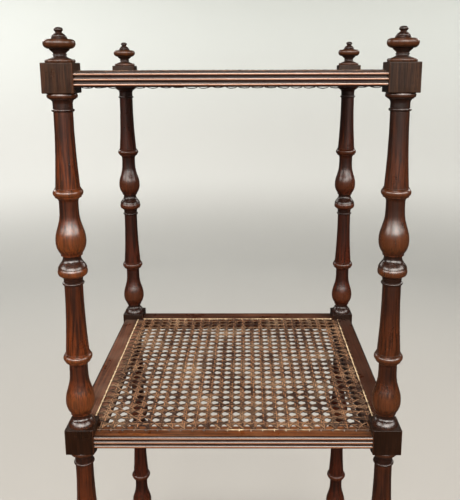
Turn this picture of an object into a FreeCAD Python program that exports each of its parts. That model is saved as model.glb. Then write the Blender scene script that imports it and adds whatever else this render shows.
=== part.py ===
"""Three-tier etagere: turned posts, reeded rails, woven cane shelves.

Millimetres. The origin is on the floor under the middle of the plan, +Z is up, and the
front looks along -Y. Every piece is written to parts/ in its place in the whole.
"""
import FreeCAD, Part
import os

Vector = FreeCAD.Vector

# Posts, all turned from one size of square stock
POST_SPACING = 370.0
BLOCK_WIDTH = 34.5
BLOCK_HEIGHT = 32.5
BLOCK_EASE = 0.8
FOOT_HEIGHT = 100.0
LOWER_BAY = 416.0
UPPER_BAY = 430.0

# Turned collar under each block, then a neck and a small bead
COLLAR_RADIUS = 16.7
COLLAR_EASE = 0.8
COLLAR_HEIGHT = 5.2
COLLAR_FILLET = 0.8
COVE_RADIUS = 14.7
COVE_HEIGHT = 5.4
NECK_RADIUS = 10.8
NECK_HEIGHT = 5.4
BEAD_RADIUS = 12.5
BEAD_HEIGHT = 3.2

# Long tapers, each swelling down to a ring
TAPER_TOP_RADIUS = 10.6
TAPER_FOOT_RADIUS = 13.8
RING_RADIUS = 16.9
RING_HEIGHT = 8.0
RING_FILLET_RADIUS = 14.7
RING_FILLET_HEIGHT = 1.2
RING_COVE_HEIGHT = 5.6

# Vases below the rings
THROAT_RADIUS = 10.8
THROAT_HEIGHT = 8.0
SHOULDER_HEIGHT = 37.5
BELLY_HEIGHT = 15.5
VASE_FOOT_RADIUS = 12.3
VASE_FOOT_HEIGHT = 1.3

# Reels below the vases: a waist, a lower and an upper flare, and a ring at mid bay
WAIST_RADIUS = 10.4
WAIST_HEIGHT = 8.6
FLARE_RADIUS = 12.9
FLARE_HEIGHT = 6.2
REEL_RADIUS = 17.0
REEL_HEIGHT = 7.6
REEL_RETURN = 3.4
QUIRK = 0.5
BASE_WAIST_HEIGHT = 7.6
BASE_FLARE_HEIGHT = 7.0
BASE_RADIUS = 16.2

# Rails, tenoned into the blocks. The front one is the narrowest
FRONT_RAIL_WIDTH = 23.75
SIDE_RAIL_WIDTH = 37.0
BACK_RAIL_WIDTH = 35.75
RAIL_HEIGHT = 16.5
RAIL_DROP = 9.5
RAIL_SETBACK = 2.0
REEDS = 3
REED_DEPTH = 2.1
REED_GAP = 0.8
TENON_WIDTH = 14.0
TENON_HEIGHT = 8.0
TENON_APART = 0.8
MORTISE_RELIEF = 0.5

# Cane shelves: holes drilled along the rails, the woven sheet and its binding
FRONT_CANE_LAND = 8.5
SIDE_CANE_LAND = 12.75
BACK_CANE_LAND = 5.5
CANE_PITCH = 14.25
CANE_HOLE_RADIUS = 2.4
CANE_HOLE_MARGIN = 1.0
FIRST_SIDE_HOLE = 7.85
LAST_SIDE_HOLE = 12.75
SHEET_THICKNESS = 2.0
SHEET_LAP = 3.0
CANE_OPENINGS = 12
CANE_OPEN_SHARE = 0.53
BINDING_WIDTH = 4.0
BINDING_HEIGHT = 1.4
BINDING_EDGE = 0.5
CANE_CLEARANCE = 0.3

# Finials, from the knob down to the base
FINIAL_HEIGHT = 37.5
KNOB_RADIUS = 4.9
KNOB_HEIGHT = 5.4
STEM_RADIUS = 3.5
CAP_RADIUS = 7.5
CAP_HEIGHT = 4.3
SKIRT_RADIUS = 10.0
SKIRT_HEIGHT = 3.0
BULB_LEDGE_RADIUS = 13.2
BULB_HEIGHT = 10.2
CUP_RADIUS = 11.0
FINIAL_NECK_RADIUS = 6.9
FINIAL_BEAD_RADIUS = 7.6
CUP_SHARE = 0.6
FINIAL_BEAD_HEIGHT = 1.8
FINIAL_STEP_RADIUS = 12.3
FINIAL_BASE_RADIUS = 16.3
FINIAL_BASE_HEIGHT = 3.6
SPIGOT_RADIUS = 4.5
SPIGOT_LENGTH = 13.0
SPIGOT_RELIEF = 1.0

# Feet, from the bulb down to the toe
FOOT_SHOULDER_HEIGHT = 20.0
ANKLE_RADIUS = 9.0
TOE_RADIUS = 12.4
TOE_HEIGHT = 7.0
PAD_RADIUS = 10.4
PAD_HEIGHT = 3.0

# Worked out from the sizes above
HALF_SPACING = POST_SPACING / 2
HALF_BLOCK = BLOCK_WIDTH / 2
BOTTOM_TIER = FOOT_HEIGHT + BLOCK_HEIGHT
MIDDLE_TIER = BOTTOM_TIER + LOWER_BAY
TOP_TIER = MIDDLE_TIER + UPPER_BAY
TIERS = {"bottom": BOTTOM_TIER, "middle": MIDDLE_TIER, "top": TOP_TIER}
CORNERS = {
    "front_left": (-1, -1),
    "front_right": (1, -1),
    "back_left": (-1, 1),
    "back_right": (1, 1),
}
SIDES = {"front": 0, "right": 90, "back": 180, "left": 270}
RAIL_OUTER = HALF_SPACING + HALF_BLOCK - RAIL_SETBACK
RAIL_END = HALF_SPACING - HALF_BLOCK
TENON_LENGTH = HALF_BLOCK - TENON_WIDTH / 2 - TENON_APART
RAIL_INNER = {
    "front": RAIL_OUTER - FRONT_RAIL_WIDTH,
    "right": RAIL_OUTER - SIDE_RAIL_WIDTH,
    "back": RAIL_OUTER - BACK_RAIL_WIDTH,
    "left": RAIL_OUTER - SIDE_RAIL_WIDTH,
}
CANE_LINE = {
    "front": RAIL_INNER["front"] + FRONT_CANE_LAND,
    "right": RAIL_INNER["right"] + SIDE_CANE_LAND,
    "back": RAIL_INNER["back"] + BACK_CANE_LAND,
    "left": RAIL_INNER["left"] + SIDE_CANE_LAND,
}


class Turning:
    """Half outline of a turned piece, drawn downwards beside its axis from the top."""

    def __init__(self, top, radius):
        self.start = Vector(radius, 0, top)
        self.here = self.start
        self.edges = []

    def point(self, radius, drop):
        return Vector(radius, 0, self.here.z - drop)

    def line(self, radius, drop=0.0):
        end = self.point(radius, drop)
        self.edges.append(Part.LineSegment(self.here, end).toShape())
        self.here = end

    def arc(self, crown, radius, drop, share=0.5):
        """Round through a crown radius, reached after this share of the drop."""
        middle = self.point(crown, drop * share)
        end = self.point(radius, drop)
        self.edges.append(Part.Arc(self.here, middle, end).toShape())
        self.here = end

    def sweep(self, radius, drop, leave, arrive):
        """Smooth curve steered by two handles, each a radius and a share of the drop."""
        curve = Part.BezierCurve()
        handles = [self.point(handle, drop * share) for handle, share in (leave, arrive)]
        end = self.point(radius, drop)
        curve.setPoles([self.here] + handles + [end])
        self.edges.append(curve.toShape())
        self.here = end

    def solid(self):
        foot = Vector(0, 0, self.here.z)
        head = Vector(0, 0, self.start.z)
        edges = list(self.edges)
        edges.append(Part.LineSegment(self.here, foot).toShape())
        edges.append(Part.LineSegment(foot, head).toShape())
        if self.start.x > 0:
            edges.append(Part.LineSegment(head, self.start).toShape())
        wire = Part.Wire(Part.__sortEdges__(edges))
        return Part.Face(wire).revolve(Vector(0, 0, 0), Vector(0, 0, 1), 360)


def collar_and_bead(turning):
    """Collar against a block, a hollow to the neck, and the bead below it."""
    turning.arc(COLLAR_RADIUS, COLLAR_RADIUS - COLLAR_EASE, COLLAR_HEIGHT)
    turning.line(COVE_RADIUS)
    turning.line(COVE_RADIUS, COLLAR_FILLET)
    turning.sweep(NECK_RADIUS, COVE_HEIGHT, (NECK_RADIUS + QUIRK, 0.2), (NECK_RADIUS, 0.7))
    turning.line(NECK_RADIUS, NECK_HEIGHT)
    bead(turning)


def bead(turning):
    turning.arc(BEAD_RADIUS, TAPER_TOP_RADIUS, BEAD_HEIGHT)


def taper_ring_and_vase(turning, taper_length):
    """Long taper, the ring at its foot and the vase that hangs from the ring."""
    slim = (TAPER_TOP_RADIUS - 0.2, 0.33)
    full = (TAPER_TOP_RADIUS + 0.32 * (TAPER_FOOT_RADIUS - TAPER_TOP_RADIUS), 0.65)
    turning.sweep(TAPER_FOOT_RADIUS, taper_length, slim, full)
    turning.line(RING_FILLET_RADIUS)
    turning.line(RING_FILLET_RADIUS, RING_FILLET_HEIGHT)
    turning.arc(RING_RADIUS, RING_FILLET_RADIUS, RING_HEIGHT)
    turning.line(RING_FILLET_RADIUS, RING_FILLET_HEIGHT)
    hollow = THROAT_RADIUS + 0.25 * (RING_FILLET_RADIUS - THROAT_RADIUS)
    turning.sweep(THROAT_RADIUS, RING_COVE_HEIGHT, (hollow, 0.15), (THROAT_RADIUS, 0.6))
    turning.line(THROAT_RADIUS, THROAT_HEIGHT)
    turning.sweep(HALF_BLOCK, SHOULDER_HEIGHT, (THROAT_RADIUS, 0.54), (HALF_BLOCK, 0.6))
    turning.sweep(VASE_FOOT_RADIUS - QUIRK, BELLY_HEIGHT, (HALF_BLOCK, 0.55),
                  (VASE_FOOT_RADIUS + 2 * QUIRK, 0.88))
    turning.line(VASE_FOOT_RADIUS)
    turning.line(VASE_FOOT_RADIUS, VASE_FOOT_HEIGHT)
    turning.line(WAIST_RADIUS + QUIRK)


def reel(turning):
    """Waisted reel at mid bay: two flares and a ring, and the neck under them."""
    turning.arc(WAIST_RADIUS, FLARE_RADIUS, WAIST_HEIGHT, 0.4)
    turning.line(FLARE_RADIUS, QUIRK)
    swell = FLARE_RADIUS + 0.6 * (REEL_RADIUS - FLARE_RADIUS)
    turning.arc(swell, REEL_RADIUS - QUIRK, FLARE_HEIGHT)
    turning.line(REEL_RADIUS - 2 * QUIRK, QUIRK)
    turning.arc(REEL_RADIUS, REEL_RADIUS - 2 * QUIRK, REEL_HEIGHT)
    turning.line(NECK_RADIUS + QUIRK, REEL_RETURN)
    turning.line(NECK_RADIUS, NECK_HEIGHT)
    bead(turning)


def base_reel(turning):
    """Low reel that stands on the block below."""
    turning.arc(WAIST_RADIUS, FLARE_RADIUS, BASE_WAIST_HEIGHT, 0.4)
    turning.line(FLARE_RADIUS, QUIRK)
    swell = FLARE_RADIUS + 0.7 * (BASE_RADIUS - FLARE_RADIUS)
    turning.arc(swell, BASE_RADIUS, BASE_FLARE_HEIGHT)


def spindle(top, bottom):
    """Turned length between two blocks. The two equal tapers take what the rest leaves."""
    collar = COLLAR_HEIGHT + COLLAR_FILLET + COVE_HEIGHT + NECK_HEIGHT + BEAD_HEIGHT
    ring = 2 * RING_FILLET_HEIGHT + RING_HEIGHT + RING_COVE_HEIGHT
    vase = THROAT_HEIGHT + SHOULDER_HEIGHT + BELLY_HEIGHT + VASE_FOOT_HEIGHT
    middle = WAIST_HEIGHT + FLARE_HEIGHT + 2 * QUIRK + REEL_HEIGHT + REEL_RETURN
    middle += NECK_HEIGHT + BEAD_HEIGHT
    base = BASE_WAIST_HEIGHT + QUIRK + BASE_FLARE_HEIGHT
    taper_length = (top - bottom - collar - 2 * (ring + vase) - middle - base) / 2

    turning = Turning(top, COLLAR_RADIUS - COLLAR_EASE)
    collar_and_bead(turning)
    taper_ring_and_vase(turning, taper_length)
    reel(turning)
    taper_ring_and_vase(turning, taper_length)
    base_reel(turning)
    return turning.solid()


def box(low, high):
    """Box between two corners."""
    low, high = Vector(*low), Vector(*high)
    size = high - low
    return Part.makeBox(size.x, size.y, size.z, low)


def block(tier):
    """Square block whose top face is at this height, with eased edges."""
    cube = box((-HALF_BLOCK, -HALF_BLOCK, tier - BLOCK_HEIGHT), (HALF_BLOCK, HALF_BLOCK, tier))
    return cube.makeFillet(BLOCK_EASE, cube.Edges)


def mortises(tier, across, along):
    """The two mortises of a block, opening towards the middle of the plan."""
    top = tier - RAIL_DROP - (RAIL_HEIGHT - TENON_HEIGHT) / 2
    bottom = top - TENON_HEIGHT
    half = TENON_WIDTH / 2
    mouth = -HALF_BLOCK - BLOCK_EASE
    end = -HALF_BLOCK + TENON_LENGTH + MORTISE_RELIEF
    in_x = box((mouth, -half, bottom), (end, half, top))
    in_y = box((-half, mouth, bottom), (half, end, top))
    if across < 0:
        in_x = in_x.mirror(Vector(0, 0, 0), Vector(1, 0, 0))
    if along < 0:
        in_y = in_y.mirror(Vector(0, 0, 0), Vector(0, 1, 0))
    return [in_x, in_y]


def post(across, along):
    """One-piece post: blocks and turned lengths, mortised for rails, finial and foot."""
    pieces = [block(tier) for tier in TIERS.values()]
    pieces.append(spindle(MIDDLE_TIER - BLOCK_HEIGHT, BOTTOM_TIER))
    pieces.append(spindle(TOP_TIER - BLOCK_HEIGHT, MIDDLE_TIER))
    body = pieces[0].fuse(pieces[1:])
    depth = SPIGOT_LENGTH + SPIGOT_RELIEF
    cuts = [
        Part.makeCylinder(SPIGOT_RADIUS, depth, Vector(0, 0, TOP_TIER - depth)),
        Part.makeCylinder(SPIGOT_RADIUS, depth, Vector(0, 0, FOOT_HEIGHT)),
    ]
    for tier in TIERS.values():
        cuts += mortises(tier, across, along)
    return body.cut(cuts)


def finial():
    """Turned finial with a spigot for the top block, standing on the height zero."""
    bulb_top = FINIAL_HEIGHT - KNOB_HEIGHT - CAP_HEIGHT - SKIRT_HEIGHT
    lower = bulb_top - BULB_HEIGHT - FINIAL_BEAD_HEIGHT - FINIAL_BASE_HEIGHT - QUIRK
    turning = Turning(FINIAL_HEIGHT, 0.0)
    turning.sweep(KNOB_RADIUS, KNOB_HEIGHT * 0.55, (KNOB_RADIUS * 0.75, 0.0), (KNOB_RADIUS, 0.45))
    turning.sweep(STEM_RADIUS, KNOB_HEIGHT * 0.45, (KNOB_RADIUS, 0.45), (STEM_RADIUS, 0.6))
    turning.sweep(CAP_RADIUS, CAP_HEIGHT, (STEM_RADIUS + QUIRK, 0.35), (CAP_RADIUS, 0.5))
    turning.line(CAP_RADIUS + QUIRK)
    turning.sweep(SKIRT_RADIUS, SKIRT_HEIGHT, (CAP_RADIUS + 2 * QUIRK, 0.5), (SKIRT_RADIUS - QUIRK, 1.0))
    turning.line(BULB_LEDGE_RADIUS)
    turning.sweep(HALF_BLOCK, BULB_HEIGHT * 0.45, (HALF_BLOCK - QUIRK, 0.1), (HALF_BLOCK, 0.6))
    turning.sweep(CUP_RADIUS, BULB_HEIGHT * 0.55, (HALF_BLOCK, 0.5), (CUP_RADIUS + 8 * QUIRK, 0.97))
    turning.sweep(FINIAL_NECK_RADIUS, lower * CUP_SHARE, (CUP_RADIUS - QUIRK, 0.4), (FINIAL_NECK_RADIUS, 0.6))
    turning.arc(FINIAL_BEAD_RADIUS, FINIAL_NECK_RADIUS, FINIAL_BEAD_HEIGHT)
    turning.sweep(FINIAL_STEP_RADIUS, lower * (1 - CUP_SHARE), (FINIAL_NECK_RADIUS, 0.6),
                  (FINIAL_STEP_RADIUS, 0.95))
    turning.line(FINIAL_STEP_RADIUS, QUIRK)
    turning.line(FINIAL_BASE_RADIUS - 2 * QUIRK)
    turning.arc(FINIAL_BASE_RADIUS, FINIAL_BASE_RADIUS - QUIRK, FINIAL_BASE_HEIGHT)
    turning.line(SPIGOT_RADIUS)
    turning.line(SPIGOT_RADIUS, SPIGOT_LENGTH)
    return turning.solid()


def foot():
    """Turned foot with a spigot for the bottom block, standing on the floor."""
    turning = Turning(FOOT_HEIGHT + SPIGOT_LENGTH, SPIGOT_RADIUS)
    turning.line(SPIGOT_RADIUS, SPIGOT_LENGTH)
    turning.line(COLLAR_RADIUS - COLLAR_EASE)
    collar_and_bead(turning)
    ankle = turning.here.z - FOOT_SHOULDER_HEIGHT - TOE_HEIGHT - PAD_HEIGHT
    turning.sweep(HALF_BLOCK, FOOT_SHOULDER_HEIGHT, (TAPER_TOP_RADIUS, 0.5), (HALF_BLOCK, 0.55))
    turning.sweep(ANKLE_RADIUS, ankle, (HALF_BLOCK, 0.4), (ANKLE_RADIUS, 0.7))
    turning.arc(TOE_RADIUS, PAD_RADIUS, TOE_HEIGHT)
    turning.line(PAD_RADIUS, PAD_HEIGHT)
    return turning.solid()


def rail_section(tier, inner):
    """Face across a front rail: a flat top and bottom, and reeds down the outer edge."""
    top = tier - RAIL_DROP
    pitch = RAIL_HEIGHT / REEDS
    root = -RAIL_OUTER + REED_DEPTH
    height = top
    outline = [Part.LineSegment(Vector(0, -inner, top), Vector(0, root, top))]
    for reed in range(REEDS):
        start = Vector(0, root, height - REED_GAP / 2)
        crown = Vector(0, -RAIL_OUTER, height - pitch / 2)
        end = Vector(0, root, height - pitch + REED_GAP / 2)
        height -= pitch
        outline.append(Part.LineSegment(Vector(0, root, height + pitch), start))
        outline.append(Part.Arc(start, crown, end))
        outline.append(Part.LineSegment(end, Vector(0, root, height)))
    inner_foot = Vector(0, -inner, height)
    outline.append(Part.LineSegment(Vector(0, root, height), inner_foot))
    outline.append(Part.LineSegment(inner_foot, Vector(0, -inner, top)))
    edges = [side.toShape() for side in outline]
    return Part.Face(Part.Wire(Part.__sortEdges__(edges)))


def hole_places(side):
    """Distances of the cane holes along a rail, with the front rail's left end as minus."""
    first, last = -RAIL_END + CANE_HOLE_RADIUS + CANE_HOLE_MARGIN, RAIL_END
    last -= CANE_HOLE_RADIUS + CANE_HOLE_MARGIN
    if side in ("left", "right"):
        first, last = -RAIL_END + FIRST_SIDE_HOLE, RAIL_END - LAST_SIDE_HOLE
    spaces = round((last - first) / CANE_PITCH)
    places = [first + (last - first) * space / spaces for space in range(spaces + 1)]
    if side == "left":
        places = [-place for place in places]
    return places


def rail(tier, side):
    """One rail with its tenons and row of cane holes, made as if it stood at the front."""
    inner = RAIL_INNER[side]
    section = rail_section(tier, inner)
    section.translate(Vector(-RAIL_END, 0, 0))
    bar = section.extrude(Vector(2 * RAIL_END, 0, 0))
    top = tier - RAIL_DROP
    bottom = top - RAIL_HEIGHT
    tenon_top = top - (RAIL_HEIGHT - TENON_HEIGHT) / 2
    reach = RAIL_END + TENON_LENGTH
    half = TENON_WIDTH / 2
    tenons = box((-reach, -HALF_SPACING - half, tenon_top - TENON_HEIGHT),
                 (reach, -HALF_SPACING + half, tenon_top))
    bar = bar.fuse(tenons)

    cuts = []
    names = list(SIDES)
    place = names.index(side)
    neighbours = {-1: names[place - 1], 1: names[(place + 1) % len(names)]}
    for end, neighbour in neighbours.items():
        meets = RAIL_INNER[neighbour]
        if max(inner, meets) < RAIL_END:
            corner = [
                Vector(end * RAIL_END, -inner, bottom),
                Vector(end * meets, -inner, bottom),
                Vector(end * RAIL_END, -RAIL_END, bottom),
            ]
            wedge = Part.Face(Part.makePolygon(corner + corner[:1]))
            cuts.append(wedge.extrude(Vector(0, 0, RAIL_HEIGHT)))
    for along in hole_places(side):
        drill = Vector(along, -CANE_LINE[side], bottom)
        cuts.append(Part.makeCylinder(CANE_HOLE_RADIUS, RAIL_HEIGHT, drill))
    return bar.cut(cuts).removeSplitter()


def cane_openings(low):
    """Square openings between the rails, each standing for a few of the fine ones in the weave."""
    left, right = -RAIL_INNER["left"], RAIL_INNER["right"]
    front, back = -RAIL_INNER["front"], RAIL_INNER["back"]
    across = (right - left) / CANE_OPENINGS
    along = (back - front) / CANE_OPENINGS
    solid = (1 - CANE_OPEN_SHARE) / 2
    openings = []
    for column in range(CANE_OPENINGS):
        for row in range(CANE_OPENINGS):
            start = (left + across * (column + solid), front + along * (row + solid), low)
            end = (left + across * (column + 1 - solid), front + along * (row + 1 - solid),
                   low + SHEET_THICKNESS)
            openings.append(box(start, end))
    return openings


def cane_sheet(tier):
    """Woven sheet over the rails' holes, notched at the corners to clear the blocks."""
    low = tier - RAIL_DROP
    high = low + SHEET_THICKNESS
    front, right, back, left = (CANE_LINE[side] + SHEET_LAP for side in SIDES)
    clear = RAIL_END - CANE_CLEARANCE
    across = box((-clear, -front, low), (clear, back, high))
    along = box((-left, -clear, low), (right, clear, high))
    return across.fuse(along).removeSplitter().cut(cane_openings(low))


def binding(tier, side):
    """Flat strip of cane over a row of holes, rounded on top, made as if at the front."""
    low = tier - RAIL_DROP + SHEET_THICKNESS
    line = -CANE_LINE[side]
    front = line - BINDING_WIDTH / 2
    back = line + BINDING_WIDTH / 2
    end = RAIL_END - CANE_CLEARANCE
    corners = [Vector(-end, across, low + rise) for across, rise in
               ((front, BINDING_EDGE), (front, 0), (back, 0), (back, BINDING_EDGE))]
    crown = Vector(-end, line, low + BINDING_HEIGHT)
    edges = [Part.LineSegment(start, stop).toShape() for start, stop in zip(corners, corners[1:])]
    edges.append(Part.Arc(corners[-1], crown, corners[0]).toShape())
    face = Part.Face(Part.Wire(Part.__sortEdges__(edges)))
    return face.extrude(Vector(2 * end, 0, 0))


def write(shape, name):
    shape.exportStep(os.path.join("parts", name + ".step"))


def placed(shape, x, y, z=0.0):
    copy = shape.copy()
    copy.translate(Vector(x, y, z))
    return copy


def turned_to(shape, degrees):
    """The front piece carried round to another side of the square plan."""
    copy = shape.copy()
    copy.rotate(Vector(0, 0, 0), Vector(0, 0, 1), degrees)
    return copy


os.makedirs("parts", exist_ok=True)

for corner, (across, along) in CORNERS.items():
    x, y = across * HALF_SPACING, along * HALF_SPACING
    write(placed(post(across, along), x, y), corner + "_post")
    write(placed(finial(), x, y, TOP_TIER), corner + "_finial")
    write(placed(foot(), x, y), corner + "_foot")

for level, tier in TIERS.items():
    for side, degrees in SIDES.items():
        write(turned_to(rail(tier, side), degrees), level + "_" + side + "_rail")
        write(turned_to(binding(tier, side), degrees), level + "_" + side + "_cane_binding")
    write(cane_sheet(tier), level + "_cane_sheet")
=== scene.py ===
import math

import bmesh
import bpy
from mathutils import Matrix, Vector


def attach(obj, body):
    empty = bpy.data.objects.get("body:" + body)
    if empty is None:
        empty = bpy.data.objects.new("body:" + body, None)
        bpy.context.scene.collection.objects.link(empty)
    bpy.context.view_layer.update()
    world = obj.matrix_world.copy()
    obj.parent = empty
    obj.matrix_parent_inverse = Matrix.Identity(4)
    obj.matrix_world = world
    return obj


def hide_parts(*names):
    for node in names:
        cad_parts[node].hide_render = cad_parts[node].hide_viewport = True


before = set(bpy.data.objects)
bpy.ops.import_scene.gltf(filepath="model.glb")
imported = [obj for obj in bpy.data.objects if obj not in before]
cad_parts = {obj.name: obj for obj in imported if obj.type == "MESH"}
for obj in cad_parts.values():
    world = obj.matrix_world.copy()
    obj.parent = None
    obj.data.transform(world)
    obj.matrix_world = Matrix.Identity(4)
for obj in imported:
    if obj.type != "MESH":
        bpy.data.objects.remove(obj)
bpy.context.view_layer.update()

# ---------------------------------------------------------------- the four turned posts
# Each post is one length of mahogany with three blocks left square and the rest turned: a
# collar, a long taper, a ring, a vase and a reel. It was stained, French polished, and waxed
# for a century and a half, so the crests are rubbed bright and the quirks are full of dark wax,
# darkened further by painted shade. The collars and reels are darker in bands. The top blocks
# are painted lighter, as painted light, and the lower blocks darker, as painted shade.

POST_CENTRE = 0.185
BLOCK_TOPS = (0.1325, 0.5485, 0.9785)
BLOCK_TALL = 0.0325
COLLARS = ((0.4960, 0.5160), (0.9260, 0.9460))
REEL_WAISTS = ((0.3241, 0.3395), (0.7471, 0.7625))
REEL_NECKS = ((0.3041, 0.3127), (0.7271, 0.7357))
BASE_REELS = ((0.1325, 0.1476), (0.5485, 0.5636))
BLOCK_SLACK = 0.0002
HOLLOW_RADII = (0.0104, 0.0126)
SWELL_RADII = (0.0122, 0.0168)
CREST_RADII = (0.0160, 0.0168)
ARRIS = (0.0160, 0.0169)
TOOL_MARKS = 1400.0
RING_REACH = 90.0


def shade(red, green, blue):
    """A colour as a maker's card gives it, 0 to 255, turned to the linear values of the shader."""
    parts = [value / 255 for value in (red, green, blue)]
    linear = [p / 12.92 if p <= 0.04045 else ((p + 0.055) / 1.055) ** 2.4 for p in parts]
    return (*linear, 1.0)


def fill(tree, node, sockets):
    """Joins a node's sockets to values from other nodes, or sets them to plain values."""
    for name, value in sockets.items():
        if isinstance(value, bpy.types.NodeSocket):
            tree.links.new(value, node.inputs[name])
        else:
            node.inputs[name].default_value = value


def add(tree, kind, sockets, **settings):
    """Adds one node, sets it, and fills its sockets."""
    made = tree.nodes.new("ShaderNode" + kind)
    for name, value in settings.items():
        setattr(made, name, value)
    fill(tree, made, sockets)
    return made


def reckon(tree, operation, first, second=0.0, clamp=False):
    """A Math node on one value or two."""
    made = add(tree, "Math", {0: first, 1: second}, operation=operation, use_clamp=clamp)
    return made.outputs[0]


def times(tree, first, second):
    """The product of two values, for a mask taken by a share or by another mask."""
    return reckon(tree, "MULTIPLY", first, second)


def rest_of(tree, value):
    """What a mask leaves out."""
    return reckon(tree, "SUBTRACT", 1.0, value)


def within(tree, value, low, high, slack=0.0):
    """1 from low to high and 0 elsewhere, with no soft step."""
    made = add(tree, "Math", {0: value, 1: (low + high) / 2, 2: (high - low) / 2 + slack},
               operation="COMPARE")
    return made.outputs[0]


def step_between(tree, value, low, high):
    """0 below low and 1 above high, with a soft step between."""
    made = add(tree, "MapRange", {"Value": value, "From Min": low, "From Max": high},
               interpolation_type="SMOOTHSTEP")
    return made.outputs["Result"]


def spread(tree, value, low, high, start=0.0, stop=1.0):
    """Goes evenly from low to high while a value goes from start to stop."""
    made = add(tree, "MapRange", {"Value": value, "From Min": start, "From Max": stop,
                                  "To Min": low, "To Max": high})
    return made.outputs["Result"]


def blend_colours(tree, share, first, second):
    """Two colours mixed by a share, which may be a value or a mask."""
    return add(tree, "Mix", {0: share, 6: first, 7: second}, data_type="RGBA").outputs[2]


def noise(tree, place, scale, detail, roughness=0.5):
    """Clouds of noise, scale being how many go in a metre."""
    made = add(tree, "TexNoise", {"Vector": place, "Scale": scale, "Detail": detail,
                                  "Roughness": roughness})
    return made.outputs["Fac"]


def streaks(tree, place, across, along, detail, roughness=0.55):
    """Noise drawn out along the grain, across and along being how many streaks go in a metre."""
    drawn = add(tree, "Mapping", {"Vector": place, "Scale": (across, across, along)})
    return noise(tree, drawn.outputs[0], 1.0, detail, roughness)


def new_group(name, inputs, outputs):
    """An empty shared effect with named sockets, and the sockets of its two end nodes."""
    group = bpy.data.node_groups.new(name, "ShaderNodeTree")
    for label, kind in inputs.items():
        group.interface.new_socket(label, in_out="INPUT", socket_type="NodeSocket" + kind)
    for label, kind in outputs.items():
        group.interface.new_socket(label, in_out="OUTPUT", socket_type="NodeSocket" + kind)
    given = group.nodes.new("NodeGroupInput").outputs
    ends = group.nodes.new("NodeGroupOutput").inputs
    return group, given, ends


def join_up(group, ends, values):
    """Joins a group's last values to its outputs."""
    for name, value in values.items():
        group.links.new(value, ends[name])


BROAD_STREAKS = (42.0, 4.5, 2.0)
MIDDLE_STREAKS = (380.0, 9.0, 4.0)
FINE_STREAKS = (900.0, 24.0, 3.0, 0.6)
PORES = (2600.0, 150.0, 1.0)
STREAK_WANDER = (0.006, 0.006, 0.0)
DARK_EDGES = (0.4, 0.66)
BROAD_SHARE = 0.75
PALE_FADE = 0.18
THREAD_TONES = (0.62, 1.38, 0.3, 0.72)
PORE_EDGES = (0.64, 0.72)
PORE_SHARE = 0.65
FILLED_PORE = shade(24, 10, 7)


def mahogany_figure():
    """The figure of solid mahogany with the grain along Z: broad bands, streaks and open pores."""
    group, given, ends = new_group(
        "mahogany_figure",
        {"Place": "Vector", "Dark": "Color", "Ground": "Color", "Pale": "Color",
         "Pale share": "Float"},
        {"Colour": "Color", "Grain": "Float"})
    wander = add(group, "TexNoise", {"Vector": given["Place"], "Scale": 9.0, "Detail": 2.0})
    aside = add(group, "VectorMath", {0: wander.outputs["Color"], 1: STREAK_WANDER},
                operation="MULTIPLY")
    place = add(group, "VectorMath", {0: given["Place"], 1: aside.outputs[0]}).outputs[0]
    broad = streaks(group, place, *BROAD_STREAKS)
    middle = streaks(group, place, *MIDDLE_STREAKS)
    fine = streaks(group, place, *FINE_STREAKS)
    pores = streaks(group, place, *PORES)
    dark_mask = step_between(group, middle, *DARK_EDGES)
    pale_edge = rest_of(group, given["Pale share"])
    pale_top = reckon(group, "ADD", pale_edge, PALE_FADE)
    pale_field = reckon(group, "ADD", times(group, broad, BROAD_SHARE),
                        times(group, fine, 1.0 - BROAD_SHARE))
    pale_mask = step_between(group, pale_field, pale_edge, pale_top)
    ground = blend_colours(group, dark_mask, given["Ground"], given["Dark"])
    warm = blend_colours(group, pale_mask, ground, given["Pale"])
    thread = spread(group, fine, *THREAD_TONES)
    lined = add(group, "VectorMath", {0: warm, "Scale": thread}, operation="SCALE")
    pore_mask = step_between(group, pores, *PORE_EDGES)
    colour = blend_colours(group, times(group, pore_mask, PORE_SHARE),
                           lined.outputs[0], FILLED_PORE)
    grain = reckon(group, "SUBTRACT", fine, pore_mask)
    join_up(group, ends, {"Colour": colour, "Grain": grain})
    return group


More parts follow.
